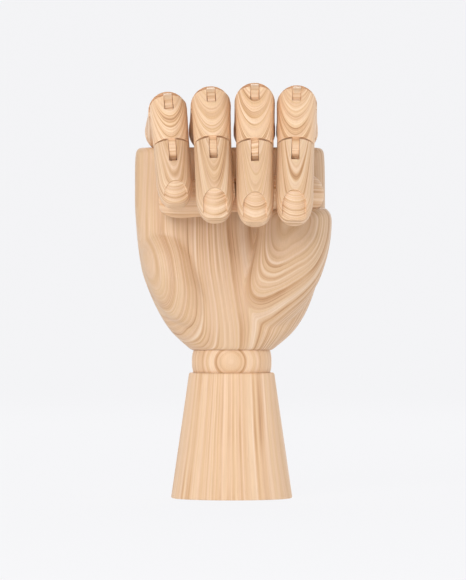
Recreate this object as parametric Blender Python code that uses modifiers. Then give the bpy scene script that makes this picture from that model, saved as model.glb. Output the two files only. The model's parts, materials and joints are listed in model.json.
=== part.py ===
"""A jointed wooden artist's hand on a round foot: a right hand, closed into a fist, palm towards -Y.

World frame: +Z up, the foot's axis is the Z axis, the fingers point towards -Y in the fist.
Every finger hangs on a chain of empties, one at each joint's axis, and its pieces are their children.
"""

import math

import bmesh
import bpy
from mathutils import Matrix, Vector

MM = 0.001

# Foot and wrist ball
BASE_BOTTOM_R = 29.65 * MM
BASE_TOP_R = 20.8 * MM
BASE_HEIGHT = 61.5 * MM
BASE_EDGE = 1.5 * MM
BALL_R = 19.6 * MM
BALL_Z = 66.8 * MM
DISH_GAP = 0.3 * MM

# Knuckle balls
KNUCKLE_Z = 179.5 * MM
KNUCKLE_R = 10.35 * MM
GROOVE_R = 10.47 * MM
ROD_BORE_R = 1.5 * MM
THUMB_BALL = Vector((34.6, -27.0, 148.2)) * MM

# Fingers: radii at the ends of each phalanx
PROXIMAL_R = 9.65 * MM
MIDDLE_R = 9.3 * MM
DISTAL_R = 8.95 * MM
PIN_R = 0.9 * MM
BORE_R = 1.15 * MM

# Middle knuckle: how far the faces stand from the pin, at the back of the finger, and their slopes
PIP_LIP = 3.0 * MM
PIP_SLOPE = math.radians(10.5)
PIP_BEVEL = math.radians(47)
PROXIMAL_BEVEL = math.radians(42)
PIP_TONGUE_R = 8.6 * MM
PIP_TONGUE_W = 3.9 * MM
PIP_SLOT_W = 4.5 * MM

# Last knuckle: the pin stands this far past the seam
DIP_SEAM = 4.2 * MM
DIP_BEVEL = math.radians(24)
DIP_TONGUE_W = 3.1 * MM
DIP_SLOT_W = 3.7 * MM
DIP_TONGUE_REACH = 5.4 * MM
DIP_SLOT_REACH = 6.7 * MM

SEAM_GAP = 0.3 * MM
CUTTER_HALF = 14 * MM
NAIL_SLOPE = math.radians(20)
NAIL_START = 0.63
SEGMENTS = 20

# Each knuckle's steel: the eye rod in the palm, its spring, and the pin through the ball
EYE_R = 3.4 * MM
EYE_WIRE = 1.1 * MM
EYE_FOOT = -30.0 * MM
EYE_HEAD_R = 2.9 * MM
EYE_SPRING_R = 2.2 * MM
EYE_SPRING_WIRE = 0.4 * MM
EYE_SPRING_ENDS = (-28.0 * MM, -19.5 * MM)
KNUCKLE_PIN = 16 * MM

# name, knuckle X, lean about Y, yaw about Z, flexion of the three knuckles (degrees), and the three lengths
FINGERS = (
    ("pinky", -32.2, -3.6, 3.4, (74.3, 79.7, 5.0), (38.0, 25.3, 27.1), 0.965),
    ("ring", -10.8, -1.5, 1.6, (73.0, 76.0, 7.0), (43.0, 28.7, 35.7), 1.0),
    ("middle", 11.1, 0.0, 0.0, (72.5, 80.5, 6.0), (47.0, 30.4, 35.9), 1.0),
    ("index", 32.0, 1.1, -1.2, (72.8, 76.2, 7.0), (44.0, 30.0, 36.2), 1.0),
)
THUMB_LENGTHS = (37.0 * MM, 33.0 * MM)
THUMB_YAW = -90.0
THUMB_BENDS = (91.0, 4.0)
THUMB_NAIL_TURN = math.radians(-50)
THUMB_NAIL_SLOPE = math.radians(17)
THUMB_NAIL_START = 0.5

# Inside the wrist: distances from the ball's centre
WRIST_ROD_R = 1.9 * MM
WRIST_PIN_R = 1.5 * MM
WRIST_PIN = 28 * MM
WRIST_SEAT = 30.0 * MM
WRIST_CHAMBER_TOP = 50.0 * MM
WRIST_CHAMBER_HALF = 6.3 * MM
WRIST_SPREAD = math.radians(26)
WRIST_NUT = 43.4 * MM

# Inside the foot
FOOT_CHAMBER_R = 12.0 * MM
FOOT_CHAMBER_TOP = 32.0 * MM
PLUG_TOP = 4.7 * MM
FOOT_NUT = 11.0 * MM

# Palm sections: height, left edge, right edge, half thickness, squareness
PALM_SECTIONS = (
    (72.2, -19.4, 19.4, 19.4, 2.0),
    (73.4, -20.9, 21.0, 20.4, 2.0),
    (82.3, -30.2, 30.8, 20.2, 2.2),
    (92.1, -36.3, 36.9, 19.4, 2.5),
    (101.9, -40.7, 40.6, 18.4, 2.8),
    (111.7, -44.0, 43.2, 17.5, 3.1),
    (121.5, -45.6, 44.6, 16.9, 3.4),
    (131.3, -46.6, 45.3, 16.5, 3.6),
    (146.0, -47.4, 45.7, 16.2, 3.8),
    (160.0, -47.4, 45.6, 16.0, 3.9),
    (169.8, -46.9, 45.1, 15.8, 3.9),
    (171.5, -45.4, 43.6, 14.4, 3.9),
)
# Bulges of the palm: height, centre X and Y, half width, half depth
THENAR_SECTIONS = (
    (80.0, 13.0, -6.0, 7.0, 9.0),
    (90.0, 19.0, -9.0, 13.0, 13.0),
    (100.0, 22.5, -13.0, 16.6, 15.0),
    (110.0, 26.0, -16.0, 18.0, 17.0),
    (120.0, 28.8, -18.5, 18.1, 18.4),
    (130.0, 30.5, -20.0, 17.9, 19.0),
    (137.0, 31.0, -20.5, 17.6, 18.9),
    (140.3, 31.0, -20.5, 16.2, 17.6),
    (141.8, 31.0, -20.5, 14.4, 15.8),
)
HYPOTHENAR_SECTIONS = (
    (80.0, -13.0, -6.0, 7.0, 10.0),
    (90.0, -20.0, -6.5, 13.0, 14.0),
    (103.0, -25.5, -7.0, 14.6, 15.6),
    (116.0, -29.5, -6.0, 14.6, 14.6),
    (127.0, -31.0, -4.0, 13.0, 12.4),
    (134.0, -31.5, -2.0, 9.0, 10.0),
)

WOOD = (0.90, 0.70, 0.47)
STEEL = (0.60, 0.60, 0.62)


def clear_scene():
    for obj in list(bpy.data.objects):
        bpy.data.objects.remove(obj, do_unlink=True)


def make_collection(name):
    made = bpy.data.collections.new(name)
    bpy.context.scene.collection.children.link(made)
    return made


def make_material(name, color, roughness, metallic):
    material = bpy.data.materials.new(name)
    material.use_nodes = True
    shader = material.node_tree.nodes["Principled BSDF"]
    shader.inputs["Base Color"].default_value = (*color, 1.0)
    shader.inputs["Roughness"].default_value = roughness
    shader.inputs["Metallic"].default_value = metallic
    return material


def wood(name, shade=1.0):
    """A piece of light wood of its own, a little lighter or darker than the rest."""
    return make_material("wood_" + name, tuple(c * shade for c in WOOD), 0.45, 0.0)


def steel(name):
    return make_material("steel_" + name, STEEL, 0.3, 1.0)


def add_empty(name, parent, location, rotation=(0.0, 0.0, 0.0)):
    empty = bpy.data.objects.new(name, None)
    PARTS.objects.link(empty)
    empty.parent = parent
    empty.location = location
    empty.rotation_euler = rotation
    empty.empty_display_size = 0.005
    return empty


def add_object(name, mesh, parent, material=None):
    """A piece if it has a material, and a hidden cutter if it has none."""
    obj = bpy.data.objects.new(name, mesh)
    if material:
        PARTS.objects.link(obj)
        obj.data.materials.append(material)
    else:
        CUTTERS.objects.link(obj)
        obj.hide_render = True
        obj.display_type = "WIRE"
    obj.parent = parent
    return obj


def mesh_from(bm, name):
    bmesh.ops.recalc_face_normals(bm, faces=bm.faces)
    mesh = bpy.data.meshes.new(name)
    bm.to_mesh(mesh)
    bm.free()
    return mesh


def cylinder_mesh(name, radius, depth, segments, matrix):
    bm = bmesh.new()
    bmesh.ops.create_cone(
        bm, cap_ends=True, segments=segments, radius1=radius, radius2=radius, depth=depth, matrix=matrix
    )
    return mesh_from(bm, name)


def sphere_mesh(name, radius, u, v, matrix):
    bm = bmesh.new()
    bmesh.ops.create_uvsphere(bm, u_segments=u, v_segments=v, radius=radius, matrix=matrix)
    return mesh_from(bm, name)


def box_mesh(name, low, high, matrix=Matrix.Identity(4)):
    """A box between two corners, turned by the matrix."""
    low, high = Vector(low), Vector(high)
    size = high - low
    place = matrix @ Matrix.Translation((low + high) / 2) @ Matrix.Diagonal((*size, 1.0))
    bm = bmesh.new()
    bmesh.ops.create_cube(bm, size=1.0, matrix=place)
    return mesh_from(bm, name)


def along_x():
    return Matrix.Rotation(math.pi / 2, 4, "Y")


def turned(name, profile, parent, material, segments=SEGMENTS):
    """A turned body: the profile, listed as radius and height from top to bottom, spun about Z."""
    bm = bmesh.new()
    points = [bm.verts.new((r, 0.0, z)) for r, z in profile]
    for a, b in zip(points, points[1:]):
        bm.edges.new((a, b))
    mesh = bpy.data.meshes.new(name)
    bm.to_mesh(mesh)
    bm.free()
    obj = add_object(name, mesh, parent, material)
    screw = obj.modifiers.new("turn", "SCREW")
    screw.axis = "Z"
    screw.steps = segments
    screw.render_steps = segments
    screw.use_merge_vertices = True
    screw.merge_threshold = 0.00001
    screw.use_smooth_shade = False
    return obj


def boolean(obj, other, operation):
    modifier = obj.modifiers.new(operation.lower() + "_" + other.name, "BOOLEAN")
    modifier.operation = operation
    modifier.solver = "EXACT"
    modifier.object = other


def cut(obj, other):
    boolean(obj, other, "DIFFERENCE")


def join(obj, other):
    boolean(obj, other, "UNION")


def arc(centre_r, centre_z, radius, start, end, steps):
    """Points of an arc in the profile plane, angles in degrees from +X towards +Z."""
    points = []
    for i in range(steps + 1):
        angle = math.radians(start + (end - start) * i / steps)
        points.append((centre_r + radius * math.cos(angle), centre_z + radius * math.sin(angle)))
    return points


def add_pin(name, parent, length, radius=PIN_R):
    mesh = cylinder_mesh(name, radius, length, 10, along_x())
    return add_object(name, mesh, parent, steel(name))


def add_coil(name, parent, radius, wire, bottom, top, turns, per_turn=10):
    """A compression spring about the parent's Z axis."""
    curve = bpy.data.curves.new(name, "CURVE")
    curve.dimensions = "3D"
    curve.bevel_depth = wire
    curve.bevel_resolution = 1
    curve.use_fill_caps = True
    spline = curve.splines.new("POLY")
    count = turns * per_turn
    spline.points.add(count)
    for i in range(count + 1):
        angle = 2 * math.pi * i / per_turn
        height = bottom + (top - bottom) * i / count
        spline.points[i].co = (radius * math.cos(angle), radius * math.sin(angle), height, 1.0)
    return add_object(name, curve, parent, steel(name))


def add_eye_rod(name, parent, ring_r, wire, shank_to, head_r):
    """A rod along -Z with a ring about the X axis at its top and a head at its foot."""
    rod_mesh = cylinder_mesh(
        name, wire, -shank_to - ring_r, 10, Matrix.Translation((0, 0, (shank_to - ring_r) / 2))
    )
    rod = add_object(name, rod_mesh, parent, steel(name))
    ring = add_object(
        name + "_ring", cylinder_mesh(name + "_ring", ring_r + wire / 2, wire * 1.7, 16, along_x()), parent
    )
    hole = add_object(
        name + "_hole", cylinder_mesh(name + "_hole", BORE_R, wire * 6, 10, along_x()), parent
    )
    place = Matrix.Translation((0, 0, shank_to + 0.5 * MM))
    head = add_object(name + "_head", cylinder_mesh(name + "_head", head_r, 1.2 * MM, 12, place), parent)
    join(rod, ring)
    join(rod, head)
    cut(rod, hole)
    return rod


def prism(name, outline, half, parent):
    """A plate with this outline, given as points (Y, Z), that reaches half to each side of X = 0."""
    bm = bmesh.new()
    sides = []
    for x in (-half, half):
        sides.append(bm.faces.new([bm.verts.new((x, y, z)) for y, z in outline]))
    low, high = sides
    count = len(outline)
    for i in range(count):
        j = (i + 1) % count
        bm.faces.new((low.verts[i], low.verts[j], high.verts[j], high.verts[i]))
    return add_object(name, mesh_from(bm, name), parent)


def face_cutter(name, parent, height, slope, bevel, dorsal, facing):
    """Material to take off a phalanx's end: a face through (dorsal, height) that slopes towards the palm
    side, and a steeper bevel past mid-depth. facing is +1 at the far end and -1 at the near end."""
    reach = 30 * MM
    at_middle = height - facing * (dorsal * math.tan(slope))
    below = at_middle - facing * reach * math.tan(bevel)
    above = height + facing * 8 * MM * math.tan(slope)
    outline = [(dorsal + 8 * MM, above), (0.0, at_middle), (-reach, below)]
    far = height + facing * reach
    outline += [(-reach, far), (dorsal + 8 * MM, far)]
    return prism(name, outline, CUTTER_HALF, parent)


def pip_tongue(finger, root, length, scale):
    """The tongue at the far end of a proximal phalanx: a disc about the pin, with a neck at the back."""
    radius = PIP_TONGUE_R * scale
    neck_low = -2.0 * MM
    start = math.degrees(-math.acos(0.97))
    end = 180 + math.degrees(math.acos(-neck_low / radius))
    outline = [(0.97 * radius, length - 14 * MM)]
    outline += arc(0.0, length, radius, start, end, 22)
    outline += [(neck_low, length - 14 * MM)]
    return prism(finger + "_pip_tongue", outline, PIP_TONGUE_W / 2, root)


def dip_tongue(finger, root, length, radius):
    """The tongue at the far end of a middle phalanx: flush at the back, with a rounded end past its pin."""
    flush = radius - 0.25 * MM
    outline = [(-flush, length - 8 * MM)]
    for i in range(13):
        angle = -math.pi / 2 + math.pi * i / 12
        outline.append((flush * math.sin(angle), length + DIP_TONGUE_REACH * math.cos(angle)))
    outline += [(flush, length - 8 * MM)]
    return prism(finger + "_dip_tongue", outline, DIP_TONGUE_W / 2, root)


def pin_bore(name, root, height):
    place = Matrix.Translation((0, 0, height)) @ along_x()
    return add_object(name, cylinder_mesh(name, BORE_R, 40 * MM, 10, place), root)


def knuckle_slot(name, root):
    """The slot in a knuckle ball for its eye: open from straight down round to the palm side."""
    low = (-1.9 * MM, -14 * MM, -14 * MM)
    return add_object(name, box_mesh(name, low, (1.9 * MM, 4.4 * MM, 4.4 * MM)), root)


def add_proximal(finger, root, length, scale):
    name = finger + "_proximal"
    end_r = PROXIMAL_R * scale
    ball = arc(0.0, 0.0, KNUCKLE_R, 62, -90, 9)
    ball[-1] = (0.0, -KNUCKLE_R)
    profile = [(0.0, length + 4 * MM), (end_r, length + 4 * MM), (end_r, length - 12 * MM)]
    profile += [(end_r * 1.005, 20 * MM), (KNUCKLE_R * 0.96, 11 * MM), (KNUCKLE_R * 0.985, 5 * MM)]
    body = turned(name, profile + ball[3:], root, wood(name))
    height = length - PIP_LIP - SEAM_GAP
    cut(body, face_cutter(name + "_face", root, height, PIP_SLOPE, PROXIMAL_BEVEL, end_r, 1))
    join(body, pip_tongue(finger, root, length, scale))
    cut(body, pin_bore(name + "_bore", root, length))
    cut(body, knuckle_slot(name + "_slot", root))
    cut(body, pin_bore(name + "_root_bore", root, 0.0))
    return body


def pip_slot(finger, root, radius):
    """The slot in a middle phalanx: round about the pin inside, and open at the back down to a square end."""
    room = PIP_TONGUE_R + 0.35 * MM
    out = radius + 3 * MM
    back_end = -5.2 * MM
    inner = math.sqrt(room**2 - back_end**2)
    outline = [(out, -14 * MM), (out, -back_end), (inner, -back_end)]
    start = math.degrees(math.asin(-back_end / room))
    outline += arc(0.0, 0.0, room, start, 180 - start, 16)
    outline += [(-inner, 3.5 * MM), (-out, 3.5 * MM), (-out, -14 * MM)]
    return prism(finger + "_pip_slot", outline, PIP_SLOT_W / 2, root)


def add_middle(finger, root, length, scale):
    name = finger + "_middle"
    near_r = MIDDLE_R * scale
    far_r = DISTAL_R * scale + 0.05 * MM
    seam = length - DIP_SEAM - SEAM_GAP
    profile = [(0.0, seam + 6 * MM), (far_r, seam + 6 * MM), (far_r, seam - 4 * MM)]
    profile += [(near_r, 6 * MM), (near_r, -12 * MM), (0.0, -12 * MM)]
    body = turned(name, profile, root, wood(name))
    cut(body, face_cutter(name + "_far", root, seam, 0.0, DIP_BEVEL, far_r, 1))
    cut(body, face_cutter(name + "_near", root, -PIP_LIP, PIP_SLOPE, PIP_BEVEL, near_r, -1))
    cut(body, pip_slot(finger, root, near_r))
    join(body, dip_tongue(finger, root, length, far_r))
    cut(body, pin_bore(name + "_near_bore", root, 0.0))
    cut(body, pin_bore(name + "_far_bore", root, length))
    return body


def nail_cutter(name, root, start, radius, slope, around):
    """A block whose flat face makes the nail: it starts at the surface at the start height."""
    place = Matrix.Rotation(around, 4, "Z") @ Matrix.Translation((0, radius, start))
    place = place @ Matrix.Rotation(slope, 4, "X")
    return add_object(name, box_mesh(name, (-14 * MM, 0, -6 * MM), (14 * MM, 10 * MM, 40 * MM), place), root)


def tip_profile(radius, tip):
    """From the small flat end round to the straight side."""
    round_len = 12.5 * MM
    flat = 2.6 * MM
    points = [(0.0, tip), (flat, tip)]
    for i in range(1, 7):
        angle = math.pi / 2 * i / 6
        r = flat + (radius - flat) * math.sin(angle) ** 0.92
        points.append((r, tip - round_len + round_len * math.cos(angle)))
    return points


def add_distal(finger, root, tip, radius, nail_start, nail_slope, around=0.0):
    name = finger + "_distal"
    profile = tip_profile(radius, tip) + [(radius, -DIP_SEAM - 4 * MM), (0.0, -DIP_SEAM - 4 * MM)]
    body = turned(name, profile, root, wood(name))
    cut(body, face_cutter(name + "_near", root, -DIP_SEAM, 0.0, DIP_BEVEL, radius, -1))
    half = DIP_SLOT_W / 2
    low = (-half, -radius - 3 * MM, -DIP_SEAM - 9 * MM)
    slot = add_object(name + "_slot", box_mesh("slot", low, (half, radius + 3 * MM, DIP_SLOT_REACH)), root)
    cut(body, slot)
    cut(body, nail_cutter(name + "_nail", root, nail_start, radius, nail_slope, around))
    cut(body, pin_bore(name + "_bore", root, 0.0))
    return body


def add_knuckle_steel(finger, swivel, knuckle):
    add_eye_rod(finger + "_eye", swivel, EYE_R, EYE_WIRE, EYE_FOOT, EYE_HEAD_R)
    add_coil(finger + "_spring", swivel, EYE_SPRING_R, EYE_SPRING_WIRE, *EYE_SPRING_ENDS, 4)
    add_pin(finger + "_knuckle_pin", knuckle, KNUCKLE_PIN)


def add_finger(finger, x, lean, yaw, bends, lengths, scale, palm):
    """One finger on its chain: the swivel, then the three knuckles."""
    turn = Matrix.Rotation(math.radians(yaw), 4, "Z") @ Matrix.Rotation(math.radians(lean), 4, "Y")
    swivel = add_empty(finger + "_swivel_axis", palm, Vector((x * MM, 0, KNUCKLE_Z)), turn.to_euler())
    first, second, third = (math.radians(a) for a in bends)
    near, mid, last = (v * MM for v in lengths)
    knuckle = add_empty(finger + "_knuckle_axis", swivel, (0, 0, 0), (first, 0, 0))
    pip = add_empty(finger + "_pip_axis", knuckle, (0, 0, near), (second, 0, 0))
    dip = add_empty(finger + "_dip_axis", pip, (0, 0, mid), (third, 0, 0))
    add_knuckle_steel(finger, swivel, knuckle)
    add_proximal(finger, knuckle, near, scale)
    add_pin(finger + "_pip_pin", pip, 17.2 * MM * scale)
    add_middle(finger, pip, mid, scale)
    add_pin(finger + "_dip_pin", dip, 16.8 * MM * scale)
    add_distal(finger, dip, last, DISTAL_R * scale, last * NAIL_START, NAIL_SLOPE)
    return swivel


def add_thumb(palm):
    """The thumb lies across the palm behind the fingers, its nail turned up and to the front."""
    turn = (0, 0, math.radians(THUMB_YAW))
    first, last = THUMB_LENGTHS
    bend, tip_bend = (math.radians(a) for a in THUMB_BENDS)
    swivel = add_empty("thumb_swivel_axis", palm, THUMB_BALL, turn)
    knuckle = add_empty("thumb_knuckle_axis", swivel, (0, 0, 0), (bend, 0, 0))
    joint = add_empty("thumb_tip_axis", knuckle, (0, 0, first), (tip_bend, 0, 0))
    add_knuckle_steel("thumb", swivel, knuckle)
    add_thumb_proximal(knuckle, first)
    add_pin("thumb_tip_pin", joint, 16.6 * MM)
    start = last * THUMB_NAIL_START
    add_distal("thumb", joint, last, DISTAL_R, start, THUMB_NAIL_SLOPE, THUMB_NAIL_TURN)
    return swivel


def add_thumb_proximal(root, length):
    name = "thumb_proximal"
    ball = arc(0.0, 0.0, KNUCKLE_R, 62, -90, 9)
    ball[-1] = (0.0, -KNUCKLE_R)
    seam = length - DIP_SEAM - SEAM_GAP
    far_r = DISTAL_R + 0.05 * MM
    profile = [(0.0, seam + 6 * MM), (far_r, seam + 6 * MM), (far_r, 20 * MM)]
    profile += [(KNUCKLE_R * 0.93, 11 * MM), (KNUCKLE_R * 0.97, 5 * MM)]
    body = turned(name, profile + ball[3:], root, wood(name))
    cut(body, face_cutter(name + "_far", root, seam, 0.0, DIP_BEVEL, far_r, 1))
    join(body, dip_tongue("thumb", root, length, far_r))
    cut(body, pin_bore(name + "_bore", root, length))
    cut(body, knuckle_slot(name + "_slot", root))
    cut(body, pin_bore(name + "_root_bore", root, 0.0))
    return body


def loft(name, rings):
    """A closed skin over rings of points that all have the same count, lowest first."""
    bm = bmesh.new()
    rows = [[bm.verts.new(p) for p in ring] for ring in rings]
    count = len(rows[0])
    for low, high in zip(rows, rows[1:]):
        for i in range(count):
            j = (i + 1) % count
            bm.faces.new((low[i], low[j], high[j], high[i]))
    bm.faces.new(rows[0])
    bm.faces.new(rows[-1])
    return mesh_from(bm, name)


def oval(cx, cy, a, b, power, z, count):
    """A ring shaped between an ellipse (power 2) and a rounded rectangle (power 4)."""
    ring = []
    for i in range(count):
        angle = 2 * math.pi * i / count
        c, s = math.cos(angle), math.sin(angle)
        x = a * math.copysign(abs(c) ** (2 / power), c)
        y = b * math.copysign(abs(s) ** (2 / power), s)
        ring.append(Vector((cx + x, cy + y, z)) * MM)
    return ring


def bulge(name, sections, parent):
    rings = [oval(cx, cy, a, b, 2.2, z, 24) for z, cx, cy, a, b in sections]
    return add_object(name, loft(name, rings), parent)


def knuckle_seat(name, root):
    """What a knuckle takes out of the palm: its ball's dish, its rod's bore and its spring's chamber."""
    dish_r = KNUCKLE_R + DISH_GAP
    meets = math.degrees(math.asin(ROD_BORE_R / dish_r))
    profile = arc(0.0, 0.0, dish_r, 90, meets - 90, 12)
    profile[0] = (0.0, dish_r)
    profile += [(ROD_BORE_R, -18.5 * MM), (3.25 * MM, -18.5 * MM), (3.25 * MM, -32 * MM), (0.0, -32 * MM)]
    return turned(name, profile, root, None, 22)


def finger_groove(name, root):
    """The way out of the dish to the front, for the flexed finger."""
    place = Matrix.Rotation(math.pi / 2, 4, "X") @ Matrix.Translation((0, 0, 15 * MM))
    return add_object(name, cylinder_mesh(name, GROOVE_R, 30 * MM, 22, place), root)


def wrist_chamber(name, parent):
    """Room in the palm for the wrist spring: a sector about the sway axis."""
    outline = []
    for radius, sign in ((WRIST_SEAT, 1), (WRIST_CHAMBER_TOP, -1)):
        for i in range(9):
            angle = sign * WRIST_SPREAD * (i / 4 - 1)
            outline.append((radius * math.sin(angle), radius * math.cos(angle)))
    sides = (-WRIST_CHAMBER_HALF, WRIST_CHAMBER_HALF)
    rings = [[Vector((x, y, BALL_Z + z)) for x, z in outline] for y in sides]
    return add_object(name, loft(name, rings), parent)


def add_palm(parent, roots):
    rings = []
    for z, left, right, half, power in PALM_SECTIONS:
        rings.append(oval((left + right) / 2, 0, (right - left) / 2, half, power, z, 44))
    palm = add_object("palm", loft("palm", rings), parent, wood("palm", 0.98))
    join(palm, bulge("thenar", THENAR_SECTIONS, parent))
    join(palm, bulge("hypothenar", HYPOTHENAR_SECTIONS, parent))
    for root in roots:
        name = root.name.replace("_swivel_axis", "")
        cut(palm, knuckle_seat(name + "_seat", root))
        cut(palm, finger_groove(name + "_groove", root))
    place = Matrix.Translation((0, 0, BALL_Z))
    cut(palm, add_object("palm_dish", sphere_mesh("dish", BALL_R + DISH_GAP, 28, 18, place), parent))
    cut(palm, wrist_chamber("wrist_chamber", parent))
    low = (-11 * MM, -2.7 * MM, BALL_Z + 14 * MM)
    cut(palm, add_object("wrist_way", box_mesh("way", low, (11 * MM, 2.7 * MM, BALL_Z + 32 * MM)), parent))
    return palm


def add_base():
    profile = [(0.0, BASE_HEIGHT), (BASE_TOP_R - BASE_EDGE, BASE_HEIGHT)]
    profile += arc(BASE_TOP_R - BASE_EDGE, BASE_HEIGHT - BASE_EDGE, BASE_EDGE, 60, 0, 2)
    profile += arc(BASE_BOTTOM_R - 0.8 * MM, 0.8 * MM, 0.8 * MM, 0, -90, 2)
    profile += [(0.0, 0.0)]
    base = turned("base", profile, None, wood("base", 0.97), 40)
    place = Matrix.Translation((0, 0, BALL_Z))
    cut(base, add_object("base_dish", sphere_mesh("dish", BALL_R + DISH_GAP, 28, 18, place), None))
    place = Matrix.Translation((0, 0, FOOT_CHAMBER_TOP / 2 - 1 * MM))
    room = cylinder_mesh("room", FOOT_CHAMBER_R, FOOT_CHAMBER_TOP + 2 * MM, 24, place)
    cut(base, add_object("base_chamber", room, None))
    place = Matrix.Translation((0, 0, 40 * MM))
    bore = cylinder_mesh("bore", WRIST_ROD_R + 0.5 * MM, 40 * MM, 12, place)
    cut(base, add_object("base_bore", bore, None))
    place = Matrix.Translation((0, 0, PLUG_TOP / 2))
    plug = cylinder_mesh("base_plug", FOOT_CHAMBER_R - 0.3 * MM, PLUG_TOP, 24, place)
    add_object("base_plug", plug, None, wood("base_plug", 0.85))
    return base


def add_nut(name, parent, height, across, thick):
    """A hexagon nut on a wide washer."""
    nut_place = Matrix.Translation((0, 0, height + thick / 2))
    nut = add_object(name, cylinder_mesh(name, across, thick, 6, nut_place), parent, steel(name))
    hole = cylinder_mesh(name, WRIST_ROD_R + 0.3 * MM, 20 * MM, 12, Matrix.Translation((0, 0, height)))
    cut(nut, add_object(name + "_hole", hole, parent))
    return nut


def add_wrist_ball(parent):
    """The ball with its slot for the wrist rod's nod, its pin bore and the foot rod's bore."""
    ball = add_object(
        "wrist_ball", sphere_mesh("wrist_ball", BALL_R, 32, 20, Matrix.Identity(4)), parent, wood("ball")
    )
    low = (-2.7 * MM, -9.2 * MM, -6.6 * MM)
    cut(ball, add_object("ball_slot", box_mesh("slot", low, (2.7 * MM, 9.2 * MM, 24 * MM)), parent))
    cut(ball, add_object("ball_bore", cylinder_mesh("bore", 1.8 * MM, 60 * MM, 12, along_x()), parent))
    place = Matrix.Translation((0, 0, -20 * MM))
    cut(ball, add_object("ball_rod_bore", cylinder_mesh("bore", 2.2 * MM, 20 * MM, 12, place), parent))
    pin = cylinder_mesh("wrist_pin", WRIST_PIN_R, WRIST_PIN, 12, along_x())
    add_object("wrist_pin", pin, parent, steel("wrist_pin"))
    low_end = 8 * MM - BALL_Z
    top_end = -10.4 * MM
    place = Matrix.Translation((0, 0, (low_end + top_end) / 2))
    rod = cylinder_mesh("base_rod", WRIST_ROD_R, top_end - low_end, 12, place)
    add_object("base_rod", rod, parent, steel("base_rod"))
    nut_height = FOOT_NUT - BALL_Z
    add_nut("base_nut", parent, nut_height, 7.5 * MM, 3.2 * MM)
    add_coil("base_spring", parent, 5.0 * MM, 0.8 * MM, nut_height + 4.4 * MM, 30.8 * MM - BALL_Z, 4, 12)


def add_wrist_rod(parent):
    """The eye rod on the wrist pin, with the washer, spring and nut that pull the palm down."""
    place = Matrix.Translation((0, 0, 26 * MM))
    rod_mesh = cylinder_mesh("wrist_rod", WRIST_ROD_R, 44 * MM, 12, place)
    rod = add_object("wrist_rod", rod_mesh, parent, steel("wrist_rod"))
    join(rod, add_object("wrist_ring", cylinder_mesh("ring", 5.0 * MM, 4.4 * MM, 18, along_x()), parent))
    cut(rod, add_object("wrist_hole", cylinder_mesh("hole", 1.8 * MM, 20 * MM, 12, along_x()), parent))
    low = (-5.6 * MM, -5.4 * MM, WRIST_SEAT - 2 * MM)
    high = (5.6 * MM, 5.4 * MM, WRIST_SEAT + 2.6 * MM)
    washer = add_object("wrist_washer", box_mesh("wrist_washer", low, high), parent, steel("wrist_washer"))
    place = Matrix.Rotation(math.pi / 2, 4, "X")
    seat = cylinder_mesh("seat", WRIST_SEAT + 0.5 * MM, 30 * MM, 96, place)
    cut(washer, add_object("wrist_washer_seat", seat, parent))
    hole = cylinder_mesh("hole", WRIST_ROD_R + 0.3 * MM, 90 * MM, 12, Matrix.Identity(4))
    cut(washer, add_object("wrist_washer_hole", hole, parent))
    add_coil("wrist_spring", parent, 3.9 * MM, 0.6 * MM, WRIST_SEAT + 3.6 * MM, WRIST_NUT - 1.0 * MM, 4)
    add_nut("wrist_nut", parent, WRIST_NUT, 4.8 * MM, 3.0 * MM)


def build():
    add_base()
    turn = add_empty("wrist_turn_axis", None, (0, 0, BALL_Z))
    add_wrist_ball(turn)
    nod = add_empty("wrist_nod_axis", turn, (0, 0, 0))
    add_wrist_rod(nod)
    sway = add_empty("wrist_sway_axis", nod, (0, 0, 0))
    hand = add_empty("hand", sway, (0, 0, -BALL_Z))
    roots = [add_finger(*finger, hand) for finger in FINGERS]
    roots.append(add_thumb(hand))
    add_palm(hand, roots)


clear_scene()
PARTS = make_collection("mannequin_hand")
CUTTERS = make_collection("cutters")
build()
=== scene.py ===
"""The looks of the jointed wooden hand: smooth turned and carved wood in place of the CAD's facets.

Each wooden piece is made again on its own joint's axes, with finer turning and sanded edges. The palm's
sections and most other sizes are the CAD's. The tongues, slots, lips and a few radii differ from it a little,
and the nails are rounded and set in where the CAD's are flat cuts. Nothing passes the CAD's box. Each piece's
wood grows with the piece, in the piece's own coordinates.
"""

import json
import math

import bmesh
import bpy
import numpy as np
from mathutils import Matrix, Vector


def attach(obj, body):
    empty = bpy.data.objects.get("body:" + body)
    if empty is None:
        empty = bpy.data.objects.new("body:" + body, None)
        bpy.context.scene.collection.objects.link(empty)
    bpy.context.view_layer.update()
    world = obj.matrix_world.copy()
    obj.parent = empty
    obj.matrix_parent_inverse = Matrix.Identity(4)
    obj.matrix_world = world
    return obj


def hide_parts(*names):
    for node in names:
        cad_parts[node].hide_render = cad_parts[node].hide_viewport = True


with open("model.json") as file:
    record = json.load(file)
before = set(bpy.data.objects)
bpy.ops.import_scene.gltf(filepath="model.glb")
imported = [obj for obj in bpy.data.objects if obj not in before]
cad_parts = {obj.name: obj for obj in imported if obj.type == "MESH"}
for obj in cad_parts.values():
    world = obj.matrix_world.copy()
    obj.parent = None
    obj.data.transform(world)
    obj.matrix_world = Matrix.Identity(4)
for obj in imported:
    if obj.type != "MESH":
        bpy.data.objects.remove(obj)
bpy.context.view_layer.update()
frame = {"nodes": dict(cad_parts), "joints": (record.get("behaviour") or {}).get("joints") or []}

MM = 0.001
JOINTS = {joint["name"]: joint for joint in frame["joints"]}
FINE = 1.0

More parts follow.
